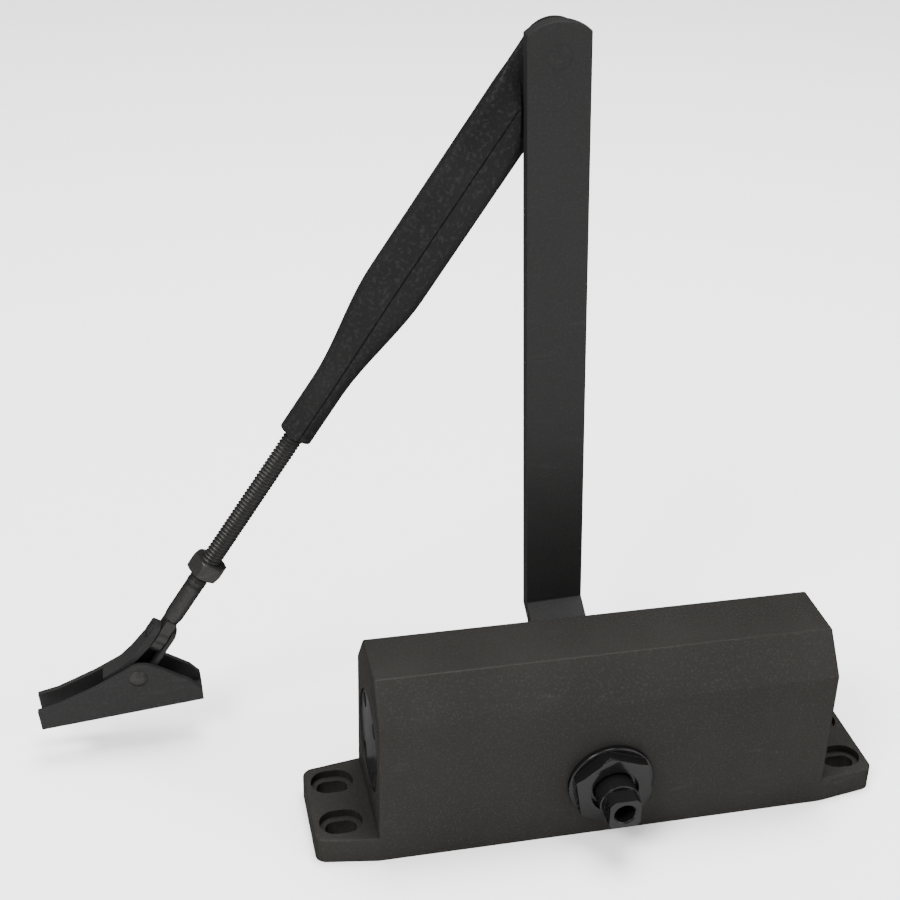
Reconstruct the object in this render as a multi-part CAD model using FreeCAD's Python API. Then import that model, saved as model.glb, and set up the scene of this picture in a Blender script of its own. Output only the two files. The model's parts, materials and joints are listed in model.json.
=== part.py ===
import FreeCAD, Part
import math
import os

from FreeCAD import Vector

# Surface-mounted rack-and-pinion door closer with its standard arm, in millimetres.
# +X runs along the body, +Y along the pinion towards the arm, +Z away from the mounting face.
# The origin is the centre of the mounting face, under the pinion axis.

# Body casting
BODY_LENGTH = 145.5
BODY_WIDTH = 39.8
BODY_HEIGHT = 62.0
TOP_WIDTH = 21.0
SHOULDER_HEIGHT = 50.0
BODY_EDGE_ROUND = 0.9
FOOT_LENGTH = 19.0
FOOT_THICKNESS = 8.5
FOOT_TAPER = 3.0
FOOT_CORNER_ROUND = 3.5
HOLE_PITCH_X = 166.0
HOLE_PITCH_Y = 19.0
SLOT_WIDTH = 6.2
SLOT_LENGTH = 10.0
RECESS_WIDTH = 10.6
RECESS_LENGTH = 13.6
RECESS_DEPTH = 2.6

# Cylinder, end plugs and springs
BORE_RADIUS = 15.0
BORE_HEIGHT = 31.5
PLUG_RADIUS = 16.0
PLUG_LENGTH = 11.0
PLUG_RECESS = 0.4
THREAD_PLAY = 0.05
PLUG_HOLE_Y = 8.0
PLUG_HOLE_Z = 9.6
SPANNER_HOLE_RADIUS = 2.5
SPANNER_HOLE_DEPTH = 5.0
RING_SECTION = 1.0
VALVE_RADIUS = 2.5
VALVE_LENGTH = 3.9
VALVE_SINK = 1.6
VALVE_TIP_LENGTH = 1.5
VALVE_SEAT_X = -65.2
VALVE_PASSAGE_RADIUS = 1.2

# Pinion, its bearings and glands
PINION_HEIGHT = 20.4
MODULE = 1.3
TOOTH_COUNT = 11
PRESSURE_ANGLE = 25.0
TOOTH_PLAY = 0.12
GEAR_HALF_WIDTH = 11.0
JOURNAL_RADIUS = 6.4
CROSS_BORE_RADIUS = 12.0
BEARING_START = 11.3
BEARING_END = 15.8
SEAL_END = 17.6
GLAND_FLANGE_RADIUS = 13.7
GLAND_FLANGE_THICKNESS = 1.7
GLAND_HEX = 23.2
GLAND_TURN = -9.4
GLAND_FACE = 25.5
GLAND_RECESS_RADIUS = 7.6
GLAND_RECESS_DEPTH = 2.0
SQUARE_SIZE = 10.0
SQUARE_CORNER_RADIUS = 6.1
SHOULDER_Y = 30.7
FRONT_END_Y = 36.0
REAR_END_Y = 35.2
END_HOLE_RADIUS = 3.2
END_HOLE_DEPTH = 12.0
RUNNING_PLAY = 0.05

# Rack piston
STROKE = 21.4
PISTON_LEFT = -60.0
PISTON_RIGHT = 20.0
WINDOW_HALF = 13.0
WINDOW_HEIGHT = 32.9
RACK_HALF_WIDTH = 10.8
CHECK_VALVE_RADIUS = 4.0
CHECK_VALVE_LENGTH = 8.0

# Main arm
ARM_LENGTH = 209.0
ARM_LEAN = -2.5
ARM_WIDTH = 19.1
ARM_THICKNESS = 5.0
ARM_FRONT = 46.1
ARM_APEX = 10.0
ARM_END_RADIUS = 15.5
HUB_RADIUS = 12.5
HUB_FRONT = 30.8
JOGGLE_TOP = 23.8
JOGGLE_BOTTOM = 13.8

# Elbow
RIVET_RADIUS = 3.0
WASHER_RADIUS = 9.0
WASHER_THICKNESS = 0.66
EAR_RADIUS = 9.7
EAR_FRONT = 51.8
EAR_BACK = 55.2

# Forearm sleeve and its rod
FOREARM_LEAN = 33.3
SLEEVE_WIDTH = 19.4
SLEEVE_DEPTH = 8.6
SLEEVE_WALL = 1.6
SLEEVE_Y = 53.7
PRESS_START = 9.3
PRESS_END = 19.0
HOLLOW_START = 34.0
SLEEVE_POWER = 3.0
EAR_POWER = 5.0
SEAM_WIDTH = 0.5
SEAM_DEPTH = 0.4
TAPER_START = 82.0
TAPER_END = 122.0
TUBE_END = 140.3
TUBE_RADIUS = 5.4
ROD_RADIUS = 3.17
ROD_START = 99.0
THREAD_END = 202.0
SHANK_RADIUS = 3.05
NUT_START = 192.3
NUT_THICKNESS = 5.4
NUT_HEX = 10.4
PIN_DISTANCE = 224.5
EYE_RADIUS = 3.6
EYE_HALF_THICKNESS = 1.9
EYE_TIP_RADIUS = 3.0

# Yoke and foot bracket
FOOT_PIVOT_DISTANCE = 240.0
YOKE_HALF_WIDTH = 3.4
YOKE_SHEET = 2.2
LEG_SHEET = 1.4
YOKE_GAP = 2.2
YOKE_TOP = 220.4
CHEEK_SHEET = 1.5
PIN_RADIUS = 1.6
FOOT_TILT = -5.6
FOOT_SHEET = 1.8
FOOT_HALF_WIDTH = 5.6
FOOT_PIVOT_HEIGHT = 13.6
FOOT_RIVET_RADIUS = 2.0
FOOT_LEFT = -33.8
FOOT_RIGHT = 19.5
FOOT_HOLE_X = 14.0
FOOT_HOLE_RADIUS = 2.5
FOOT_SLOT_END = -20.0

X_AXIS = Vector(1, 0, 0)
Y_AXIS = Vector(0, 1, 0)
ORIGIN = Vector(0, 0, 0)
HALF_LENGTH = BODY_LENGTH / 2
HALF_WIDTH = BODY_WIDTH / 2
PITCH_RADIUS = MODULE * TOOTH_COUNT / 2
ELBOW_X = ARM_LENGTH * math.sin(math.radians(ARM_LEAN))
ELBOW_Z = PINION_HEIGHT + ARM_LENGTH * math.cos(math.radians(ARM_LEAN))
FOREARM_SIN = math.sin(math.radians(FOREARM_LEAN))
FOREARM_COS = math.cos(math.radians(FOREARM_LEAN))
FOOT_PIVOT_X = ELBOW_X - FOOT_PIVOT_DISTANCE * FOREARM_SIN
FOOT_PIVOT_Z = ELBOW_Z - FOOT_PIVOT_DISTANCE * FOREARM_COS


def along_x(radius, x0, x1, y=0.0, z=BORE_HEIGHT):
    """Cylinder along X between x0 and x1."""
    return Part.makeCylinder(radius, x1 - x0, Vector(x0, y, z), X_AXIS)


def along_y(radius, y0, y1, x=0.0, z=PINION_HEIGHT):
    """Cylinder along Y between y0 and y1."""
    return Part.makeCylinder(radius, y1 - y0, Vector(x, y0, z), Y_AXIS)


def block(x0, x1, y0, y1, z0, z1):
    """Box between two corners."""
    return Part.makeBox(x1 - x0, y1 - y0, z1 - z0, Vector(x0, y0, z0))


def prism(points, direction):
    """Solid swept from a closed polygon."""
    return Part.Face(Part.makePolygon(points + points[:1])).extrude(direction)


def flat_plate(outline, y0, y1):
    """Plate between y0 and y1 whose outline is a list of (x, z) points."""
    return prism([Vector(x, y0, z) for x, z in outline], Vector(0, y1 - y0, 0))


def hexagon(width, y0, y1, z=0.0):
    """Hexagonal prism along Y with one corner up, given its width across flats."""
    corner = width / math.sqrt(3)
    angles = [math.radians(90 + 60 * i) for i in range(6)]
    return flat_plate([(corner * math.cos(a), z + corner * math.sin(a)) for a in angles], y0, y1)


def stadium(width, length, z0, z1, x, y):
    """Slot-shaped solid along Z, long in X."""
    reach = (length - width) / 2
    middle = block(x - reach, x + reach, y - width / 2, y + width / 2, z0, z1)
    ends = [Part.makeCylinder(width / 2, z1 - z0, Vector(x + s * reach, y, z0)) for s in (-1, 1)]
    return middle.multiFuse(ends).removeSplitter()


def dome(radius, height, y, x, z, facing):
    """Low rounded rivet head that stands height off the plane y; facing is -1 or 1."""
    ball = (radius ** 2 + height ** 2) / (2 * height)
    centre = Vector(x, y + facing * (height - ball), z)
    edge = math.degrees(math.asin((ball - height) / ball))
    return Part.makeSphere(ball, centre, Vector(0, facing, 0), edge, 90, 360)


def tilt(shape, angle, x, z):
    """Turns a shape built about the origin by an angle about Y and moves it to (x, z)."""
    shape.rotate(ORIGIN, Y_AXIS, angle)
    shape.translate(Vector(x, 0, z))
    return shape


def in_forearm(shape):
    """Places a shape whose origin is the elbow and whose rod hangs straight down."""
    return tilt(shape, FOREARM_LEAN, ELBOW_X, ELBOW_Z)


def in_foot(shape):
    """Places a shape whose origin is the foot pivot, with its base level."""
    return tilt(shape, FOOT_TILT, FOOT_PIVOT_X, FOOT_PIVOT_Z)


def save(name, shape):
    """Writes one node."""
    shape.exportStep("parts/" + name + ".step")


# ---- Body casting ----

def body_block():
    """Six-sided section with sloping shoulders and rounded edges."""
    section = [
        (-HALF_WIDTH, 0), (HALF_WIDTH, 0), (HALF_WIDTH, SHOULDER_HEIGHT),
        (TOP_WIDTH / 2, BODY_HEIGHT), (-TOP_WIDTH / 2, BODY_HEIGHT), (-HALF_WIDTH, SHOULDER_HEIGHT),
    ]
    solid = prism([Vector(-HALF_LENGTH, y, z) for y, z in section], Vector(BODY_LENGTH, 0, 0))
    edges = [e for e in solid.Edges if e.BoundBox.ZMax > FOOT_THICKNESS and e.BoundBox.ZLength < BODY_HEIGHT]
    return solid.makeFillet(BODY_EDGE_ROUND, edges)


def body_foot(side):
    """Fixing lug at one end: side is -1 for the left and 1 for the right."""
    inner = HALF_LENGTH - 2
    outer = HALF_LENGTH + FOOT_LENGTH
    end_half = HALF_WIDTH - FOOT_TAPER
    outline = [(inner, -HALF_WIDTH), (HALF_LENGTH, -HALF_WIDTH), (outer, -end_half)]
    outline += [(outer, end_half), (HALF_LENGTH, HALF_WIDTH), (inner, HALF_WIDTH)]
    plate = prism([Vector(side * x, y, 0) for x, y in outline], Vector(0, 0, FOOT_THICKNESS))
    corners = [e for e in plate.Edges if e.BoundBox.ZLength > 1 and abs(e.CenterOfMass.x) > outer - 1]
    plate = plate.makeFillet(FOOT_CORNER_ROUND, corners)
    rim = [e for e in plate.Edges if e.BoundBox.ZMin > 1 and abs(e.CenterOfMass.x) > HALF_LENGTH]
    return plate.makeFillet(BODY_EDGE_ROUND, rim)


def fixing_slots():
    """Four through slots with wide sunk seats."""
    tools = []
    for x in (-HOLE_PITCH_X / 2, HOLE_PITCH_X / 2):
        for y in (-HOLE_PITCH_Y / 2, HOLE_PITCH_Y / 2):
            seat = FOOT_THICKNESS - RECESS_DEPTH
            tools.append(stadium(SLOT_WIDTH, SLOT_LENGTH, -1, FOOT_THICKNESS + 1, x, y))
            tools.append(stadium(RECESS_WIDTH, RECESS_LENGTH, seat, FOOT_THICKNESS + 1, x, y))
    return tools


def make_housing():
    solid = body_block().multiFuse([body_foot(-1), body_foot(1)]).removeSplitter()
    tools = fixing_slots()
    tools.append(along_x(BORE_RADIUS, -HALF_LENGTH, HALF_LENGTH))
    tools.append(along_x(PLUG_RADIUS, -HALF_LENGTH - 1, -HALF_LENGTH + PLUG_LENGTH + PLUG_RECESS))
    tools.append(along_x(PLUG_RADIUS, HALF_LENGTH - PLUG_LENGTH - PLUG_RECESS, HALF_LENGTH + 1))
    tools.append(along_y(CROSS_BORE_RADIUS, -HALF_WIDTH - 1, HALF_WIDTH + 1))
    return solid.cut(tools)


# ---- End plugs, their sealing rings and the regulating screws ----

def groove_x(side):
    """Middle of the plug's sealing groove."""
    return side * (HALF_LENGTH - PLUG_RECESS - PLUG_LENGTH + 2.4)


def make_plug(side):
    """Screwed plug; the left one also carries the two regulating screws."""
    outer = side * (HALF_LENGTH - PLUG_RECESS)
    inner = outer - side * PLUG_LENGTH
    radius = PLUG_RADIUS - THREAD_PLAY
    solid = along_x(radius, min(inner, outer), max(inner, outer))
    rim = [e for e in solid.Edges if abs(e.CenterOfMass.x - outer) < 0.01 and e.Length > 50]
    solid = solid.makeChamfer(0.5, rim)
    middle = groove_x(side)
    ring = along_x(radius + 1, middle - RING_SECTION - 0.1, middle + RING_SECTION + 0.1)
    ring = ring.cut(along_x(radius - 2 * RING_SECTION, middle - 3, middle + 3))
    tools = [ring]
    for y_sign, z_sign in ((-1, 1), (1, -1)):
        y = y_sign * PLUG_HOLE_Y
        z = BORE_HEIGHT + z_sign * PLUG_HOLE_Z
        x0, x1 = sorted((outer + side, outer - side * SPANNER_HOLE_DEPTH))
        tools.append(along_x(SPANNER_HOLE_RADIUS, x0, x1, y, z))
        if side < 0:
            tools.append(along_x(VALVE_RADIUS + RUNNING_PLAY, outer - 1, VALVE_SEAT_X, -y, z))
            tools.append(along_x(VALVE_PASSAGE_RADIUS, VALVE_SEAT_X - 1, inner + 1, -y, z))
    return solid.cut(tools)


def make_plug_ring(side):
    """Rubber ring in the plug's groove."""
    centre = Vector(groove_x(side), 0, BORE_HEIGHT)
    return Part.makeTorus(PLUG_RADIUS - THREAD_PLAY - RING_SECTION, RING_SECTION, centre, X_AXIS)


def valve_place(sign):
    """Y and Z of a regulating screw; sign is 1 for the upper one and -1 for the lower one."""
    return sign * PLUG_HOLE_Y, BORE_HEIGHT + sign * PLUG_HOLE_Z


def make_valve(sign):
    """Slotted regulating screw with a conical tip and a waist for its ring."""
    y, z = valve_place(sign)
    head = -HALF_LENGTH + PLUG_RECESS + VALVE_SINK
    end = head + VALVE_LENGTH
    shank = along_x(VALVE_RADIUS, head, end, y, z)
    tip = Part.makeCone(VALVE_RADIUS, 0.8, VALVE_TIP_LENGTH, Vector(end, y, z), X_AXIS)
    slot = block(head - 1, head + 1.2, y - VALVE_RADIUS - 1, y + VALVE_RADIUS + 1, z - 0.5, z + 0.5)
    waist = along_x(VALVE_RADIUS + 1, end - 2.1, end - 0.7, y, z)
    waist = waist.cut(along_x(VALVE_RADIUS - 0.8, end - 4, end, y, z))
    return shank.fuse(tip).cut([slot, waist]).removeSplitter()


def make_valve_ring(sign):
    """Small ring in the waist of a regulating screw."""
    y, z = valve_place(sign)
    end = -HALF_LENGTH + PLUG_RECESS + VALVE_SINK + VALVE_LENGTH
    ring = along_x(VALVE_RADIUS, end - 2.05, end - 0.75, y, z)
    return ring.cut(along_x(VALVE_RADIUS - 0.75, end - 4, end, y, z))


def make_spring(mean_radius, wire, turns):
    """Compression coil between the piston and the right plug."""
    start = PISTON_RIGHT + wire / 2 + 0.1
    end = HALF_LENGTH - PLUG_RECESS - PLUG_LENGTH - wire / 2 - 0.1
    length = end - start
    path = Part.makeHelix(length / turns, length, mean_radius)
    ring = Part.makeCircle(wire / 2, Vector(mean_radius, 0, 0), Y_AXIS)
    coil = Part.Wire(path).makePipeShell([Part.Wire(ring)], True, True)
    coil.rotate(ORIGIN, Y_AXIS, 90)
    coil.translate(Vector(start, 0, BORE_HEIGHT))
    return coil


# ---- Pinion, bearings, seals and glands ----

def involute(angle):
    """Polar angle of an involute whose pressure angle is given."""
    return math.tan(angle) - angle


def gear_outline():
    """Points of an involute gear in XZ with one tooth straight up."""
    base = PITCH_RADIUS * math.cos(math.radians(PRESSURE_ANGLE))
    tip = PITCH_RADIUS + MODULE
    root = PITCH_RADIUS - 1.15 * MODULE
    half = (math.pi / 2 - TOOTH_PLAY / MODULE / 2) / TOOTH_COUNT
    at_pitch = involute(math.radians(PRESSURE_ANGLE))
    radii = [base + (tip - base) * i / 4 for i in range(5)]
    flank = [(root, half + at_pitch)]
    flank += [(r, half + at_pitch - involute(math.acos(base / r))) for r in radii]
    points = []
    for tooth in range(TOOTH_COUNT):
        middle = math.pi / 2 - 2 * math.pi * tooth / TOOTH_COUNT
        side = [(r, middle + a) for r, a in flank] + [(r, middle - a) for r, a in reversed(flank)]
        points += [(r * math.cos(a), PINION_HEIGHT + r * math.sin(a)) for r, a in side]
    return points


def make_pinion():
    """Toothed shaft with two journals and a square at each end."""
    gear = flat_plate(gear_outline(), -GEAR_HALF_WIDTH, GEAR_HALF_WIDTH)
    half = SQUARE_SIZE / 2
    square = block(-half, half, -FRONT_END_Y, REAR_END_Y, PINION_HEIGHT - half, PINION_HEIGHT + half)
    square = square.cut(along_y(JOURNAL_RADIUS, -SHOULDER_Y + 1, SHOULDER_Y - 1))
    core = along_y(PITCH_RADIUS - 1.15 * MODULE, -GEAR_HALF_WIDTH, GEAR_HALF_WIDTH)
    pieces = [square.common(along_y(SQUARE_CORNER_RADIUS, -FRONT_END_Y, REAR_END_Y)), core]
    for side in (-1, 1):
        y0, y1 = sorted((side * GEAR_HALF_WIDTH, side * (SHOULDER_Y - 0.3)))
        pieces.append(along_y(JOURNAL_RADIUS, y0, y1))
        start = Vector(0, side * (SHOULDER_Y - 0.3), PINION_HEIGHT)
        pieces.append(Part.makeCone(JOURNAL_RADIUS, JOURNAL_RADIUS - 0.3, 0.3, start, Vector(0, side, 0)))
    solid = gear.multiFuse(pieces).removeSplitter()
    front_hole = along_y(END_HOLE_RADIUS, -FRONT_END_Y - 1, -FRONT_END_Y + END_HOLE_DEPTH)
    front_mouth = Part.makeCone(END_HOLE_RADIUS + 0.5, END_HOLE_RADIUS, 0.5,
                                Vector(0, -FRONT_END_Y, PINION_HEIGHT), Y_AXIS)
    rear_hole = along_y(END_HOLE_RADIUS, REAR_END_Y - END_HOLE_DEPTH, REAR_END_Y + 1)
    return solid.cut([front_hole, front_mouth, rear_hole])


def sleeve_ring(outer, inner, y0, y1):
    """Plain ring about the pinion axis."""
    return along_y(outer, y0, y1).cut(along_y(inner, y0 - 1, y1 + 1))


def make_bearing(side):
    """Bush that carries one journal."""
    y0, y1 = sorted((side * BEARING_START, side * BEARING_END))
    return sleeve_ring(CROSS_BORE_RADIUS - THREAD_PLAY, JOURNAL_RADIUS + RUNNING_PLAY, y0, y1)


def make_shaft_seal(side):
    """Seal between the bush and the gland nut."""
    y0, y1 = sorted((side * (BEARING_END + 0.05), side * SEAL_END))
    return sleeve_ring(CROSS_BORE_RADIUS - THREAD_PLAY, JOURNAL_RADIUS + RUNNING_PLAY, y0, y1)


def make_gland(side):
    """Hexagonal nut with a round flange and a threaded skirt, closing one side of the body."""
    flange_y = HALF_WIDTH + GLAND_FLANGE_THICKNESS
    y0, y1 = sorted((side * (SEAL_END + 0.05), side * HALF_WIDTH))
    skirt = along_y(CROSS_BORE_RADIUS - THREAD_PLAY, y0, y1)
    y0, y1 = sorted((side * HALF_WIDTH, side * flange_y))
    flange = along_y(GLAND_FLANGE_RADIUS, y0, y1)
    rim = [e for e in flange.Edges if abs(e.CenterOfMass.y - side * flange_y) < 0.01 and e.Length > 50]
    flange = flange.makeFillet(0.6, rim)
    y0, y1 = sorted((side * flange_y, side * GLAND_FACE))
    nut = hexagon(GLAND_HEX, y0, y1, PINION_HEIGHT)
    crown_height = 12.0
    start = Vector(0, side * (GLAND_FACE + 0.4), PINION_HEIGHT)
    crown = Part.makeCone(GLAND_HEX / 2 - 0.4, GLAND_HEX / 2 + 2 * crown_height, crown_height,
                          start, Vector(0, -side, 0))
    nut = nut.common(crown)
    nut.rotate(Vector(0, 0, PINION_HEIGHT), Y_AXIS, GLAND_TURN)
    bore = along_y(JOURNAL_RADIUS + RUNNING_PLAY, -GLAND_FACE - 2, GLAND_FACE + 2)
    y0, y1 = sorted((side * (GLAND_FACE - GLAND_RECESS_DEPTH), side * (GLAND_FACE + 1)))
    recess = along_y(GLAND_RECESS_RADIUS, y0, y1)
    return skirt.multiFuse([flange, nut]).cut([bore, recess]).removeSplitter()


# ---- Rack piston ----

def rack_teeth():
    """Row of straight-sided teeth hanging from the rack, a gap centred over the pinion at rest."""
    pitch = math.pi * MODULE
    pitch_line = PINION_HEIGHT + PITCH_RADIUS
    slope = math.tan(math.radians(PRESSURE_ANGLE))
    tip = pitch_line - 0.9 * MODULE
    root = pitch_line + 1.2 * MODULE
    half = pitch / 4 - TOOTH_PLAY / 4
    tip_half = half - (pitch_line - tip) * slope
    root_half = half + (root - pitch_line) * slope
    teeth = []
    for i in range(-8, 2):
        x = (i + 0.5) * pitch
        outline = [(x - root_half, root + 0.3), (x - root_half, root), (x - tip_half, tip)]
        outline += [(x + tip_half, tip), (x + root_half, root), (x + root_half, root + 0.3)]
        teeth.append(flat_plate(outline, -RACK_HALF_WIDTH, RACK_HALF_WIDTH))
    bar = block(-8 * pitch, 2 * pitch, -RACK_HALF_WIDTH, RACK_HALF_WIDTH, root, WINDOW_HEIGHT + 1)
    return bar.multiFuse(teeth)


def make_piston():
    """Bored piston with a window for the pinion and the rack over it."""
    solid = along_x(BORE_RADIUS - RUNNING_PLAY, PISTON_LEFT, PISTON_RIGHT)
    window = block(-STROKE - WINDOW_HALF, WINDOW_HALF, -20, 20, 0, WINDOW_HEIGHT)
    groove = along_x(BORE_RADIUS + 1, PISTON_LEFT + 3, PISTON_LEFT + 5.2)
    groove = groove.cut(along_x(BORE_RADIUS - 2.2, PISTON_LEFT, PISTON_LEFT + 8))
    seat = along_x(CHECK_VALVE_RADIUS + THREAD_PLAY, PISTON_LEFT - 1, PISTON_LEFT + CHECK_VALVE_LENGTH)
    passage = along_x(2.0, PISTON_LEFT, -STROKE - WINDOW_HALF + 1)
    hollow = along_x(5.6, WINDOW_HALF - 1, PISTON_RIGHT + 1)
    solid = solid.cut([window, groove, seat, passage, hollow])
    return solid.fuse(rack_teeth()).removeSplitter()


def make_piston_seal():
    """Split ring in the piston's groove."""
    ring = along_x(BORE_RADIUS - 0.03, PISTON_LEFT + 3.05, PISTON_LEFT + 5.15)
    return ring.cut(along_x(BORE_RADIUS - 2.15, PISTON_LEFT, PISTON_LEFT + 8))


def make_check_valve():
    """Pressed-in cage of the ball check valve."""
    cage = along_x(CHECK_VALVE_RADIUS, PISTON_LEFT + 0.3, PISTON_LEFT + CHECK_VALVE_LENGTH)
    mouth = along_x(1.4, PISTON_LEFT, PISTON_LEFT + 3)
    chamber = along_x(2.4, PISTON_LEFT + 2.5, PISTON_LEFT + CHECK_VALVE_LENGTH + 1)
    return cage.cut([mouth, chamber])


def make_check_ball():
    """Ball that closes the check valve's mouth."""
    return Part.makeSphere(1.9, Vector(PISTON_LEFT + 5.4, 0, BORE_HEIGHT))


# ---- Main arm ----

def arm_blank():
    """Outline of the arm, seen along Y: round hub, straight bar, arched end."""
    half = ARM_WIDTH / 2
    apex = ARM_LENGTH + ARM_APEX
    sag = ARM_END_RADIUS - math.sqrt(ARM_END_RADIUS ** 2 - half ** 2)
    y0, y1 = HUB_FRONT - 5, ARM_FRONT + ARM_THICKNESS + 5
    bar = block(-half, half, y0, y1, 0, apex - sag)
    cap = along_y(ARM_END_RADIUS, y0, y1, 0, apex - ARM_END_RADIUS)
    cap = cap.common(block(-half, half, y0, y1, apex - sag - 1, apex + 1))
    hub = along_y(HUB_RADIUS, y0, y1, 0, 0)
    return bar.multiFuse([cap, hub]).removeSplitter()


def arm_side():
    """Side view of the bar: flat hub, sloping joggle, long flat blade."""
    run = JOGGLE_TOP - JOGGLE_BOTTOM
    bend = math.atan2(ARM_FRONT - HUB_FRONT, run)
    shift = ARM_THICKNESS * math.tan(bend / 2)
    top = ARM_LENGTH + ARM_APEX + 5
    low = -HUB_RADIUS - 5
    hub_back = HUB_FRONT + ARM_THICKNESS
    back = ARM_FRONT + ARM_THICKNESS
    outline = [(HUB_FRONT, low), (hub_back, low), (hub_back, JOGGLE_BOTTOM - shift)]
    outline += [(back, JOGGLE_TOP - shift), (back, top), (ARM_FRONT, top)]
    outline += [(ARM_FRONT, JOGGLE_TOP), (HUB_FRONT, JOGGLE_BOTTOM)]
    return prism([Vector(-30, y, z) for y, z in outline], Vector(60, 0, 0))


def make_main_arm():
    """Cranked flat bar with a square eye at its hub."""
    solid = arm_blank().common(arm_side())
    half = SQUARE_SIZE / 2 + 0.04
    eye = block(-half, half, HUB_FRONT - 1, HUB_FRONT + ARM_THICKNESS + 1, -half, half)
    eye.rotate(ORIGIN, Y_AXIS, -ARM_LEAN)
    hole = along_y(RIVET_RADIUS + 0.02, ARM_FRONT - 1, ARM_FRONT + ARM_THICKNESS + 1, 0, ARM_LENGTH)
    return tilt(solid.cut([eye, hole]), ARM_LEAN, 0, PINION_HEIGHT)


def make_arm_washer():
    """Washer that clamps the arm on the pinion's rear square."""
    y0 = HUB_FRONT + ARM_THICKNESS
    return along_y(9.0, y0, y0 + 1.6).cut(along_y(4.1, y0 - 1, y0 + 3))


def make_arm_screw():
    """Hexagon-headed screw in the pinion's rear end."""
    seat = HUB_FRONT + ARM_THICKNESS + 1.6
    head = hexagon(13.0, seat, seat + 5.2, PINION_HEIGHT)
    shank = along_y(END_HOLE_RADIUS - 0.03, seat - 10, seat)
    return head.fuse(shank).removeSplitter()


# ---- Elbow ----

def make_elbow_rivet():
    """Rivet fixed in the main arm, on which the forearm turns."""
    shank = along_y(RIVET_RADIUS, ARM_FRONT, EAR_BACK + 0.1, ELBOW_X, ELBOW_Z)
    front = dome(RIVET_RADIUS + 0.7, 0.9, ARM_FRONT, ELBOW_X, ELBOW_Z, -1)
    rear = dome(RIVET_RADIUS + 3.0, 2.0, EAR_BACK + 0.1, ELBOW_X, ELBOW_Z, 1)
    return shank.multiFuse([front, rear]).removeSplitter()


def make_elbow_washer():
    """Thin washer between the main arm and the forearm's ear."""
    y0 = ARM_FRONT + ARM_THICKNESS
    ring = along_y(WASHER_RADIUS, y0, y0 + WASHER_THICKNESS, ELBOW_X, ELBOW_Z)
    return ring.cut(along_y(RIVET_RADIUS + 0.05, y0 - 1, y0 + 2, ELBOW_X, ELBOW_Z))


# ---- Forearm ----

def oval(width, depth, distance, power, y=SLEEVE_Y):
    """Closed smooth ring across the forearm, a rounded rectangle for a high power."""
    points = []
    for i in range(32):
        a = 2 * math.pi * (i + 0.5) / 32
        c, s = math.cos(a), math.sin(a)
        across = width / 2 * math.copysign(abs(c) ** (2 / power), c)
        back = y + depth / 2 * math.copysign(abs(s) ** (2 / power), s)
        points.append(Vector(across, back, -distance))
    curve = Part.BSplineCurve()
    curve.interpolate(points, True)
    return Part.Wire(curve.toShape())


def eased(steps):
    """Pairs of an even fraction from 0 to 1 and the same fraction eased at both ends."""
    return [(i / steps, (i / steps) ** 2 * (3 - 2 * i / steps)) for i in range(steps + 1)]


def sleeve_form(inset, start, end):
    """Flattened tube that necks down smoothly to a round one, shrunk by inset all round."""
    width = SLEEVE_WIDTH - 2 * inset
    depth = SLEEVE_DEPTH - 2 * inset
    tube = 2 * (TUBE_RADIUS - inset)
    rings = []
    for even, blend in eased(8):
        distance = TAPER_START + even * (TAPER_END - TAPER_START)
        across = width + blend * (tube - width)
        power = SLEEVE_POWER + blend * (2 - SLEEVE_POWER)
        rings.append(oval(across, depth + blend * (tube - depth), distance, power))
    straight = Part.makeLoft([oval(width, depth, start, SLEEVE_POWER), rings[0]], True, True)
    pipe = Part.makeLoft([rings[-1], oval(tube, tube, end, 2)], True, True)
    return straight.multiFuse([Part.makeLoft(rings, True), pipe])


def pressed_end():
    """The sleeve's end, pressed from its full depth to the thin round-ended ear."""
    middle = (EAR_FRONT + EAR_BACK) / 2
    thin = EAR_BACK - EAR_FRONT
    rings = []
    for even, blend in eased(6):
        distance = PRESS_START + even * (PRESS_END - PRESS_START)
        depth = thin + blend * (SLEEVE_DEPTH - thin)
        power = EAR_POWER + blend * (SLEEVE_POWER - EAR_POWER)
        rings.append(oval(SLEEVE_WIDTH, depth, distance, power, middle + blend * (SLEEVE_Y - middle)))
    flat = Part.makeLoft([oval(SLEEVE_WIDTH, thin, 0, EAR_POWER, middle), rings[0]], True, True)
    disc = along_y(EAR_RADIUS, EAR_FRONT, EAR_BACK, 0, 0)
    disc = disc.makeFillet(0.7, [e for e in disc.Edges if e.Closed and e.Length > 50])
    return disc.multiFuse([flat, Part.makeLoft(rings, True)])


def main_arm_space():
    """Room that the main arm needs at the fold, in the forearm's own position."""
    half = ARM_WIDTH / 2 + 0.5
    fold = FOREARM_LEAN - ARM_LEAN - 1.6
    space = block(-half, half + 40, ARM_FRONT - 20, EAR_FRONT - 0.25, -80, 40)
    space.rotate(ORIGIN, Y_AXIS, -fold)
    return space.fuse(along_y(12.4, ARM_FRONT - 20, EAR_FRONT - 0.25, 0, 0))


def make_forearm():
    """Pressed sleeve with a flat ear at the elbow and a threaded tube at the rod."""
    shell = sleeve_form(0, PRESS_END, TUBE_END).fuse(pressed_end())
    hole = along_y(RIVET_RADIUS + 0.06, EAR_FRONT - 1, EAR_BACK + 1, 0, 0)
    thread = Part.makeCylinder(ROD_RADIUS + 0.05, 60, Vector(0, SLEEVE_Y, -TUBE_END - 1))
    hollow = sleeve_form(SLEEVE_WALL, HOLLOW_START, TAPER_END + 1)
    half = SEAM_WIDTH / 2
    seam = block(-half, half, SLEEVE_Y - 8, SLEEVE_Y, -TUBE_END - 1, -PRESS_END)
    seam = seam.cut(sleeve_form(SEAM_DEPTH, PRESS_END - 2, TUBE_END + 2))
    solid = shell.cut([hollow, main_arm_space(), hole, thread]).removeSplitter()
    return in_forearm(solid.cut(seam))


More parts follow.
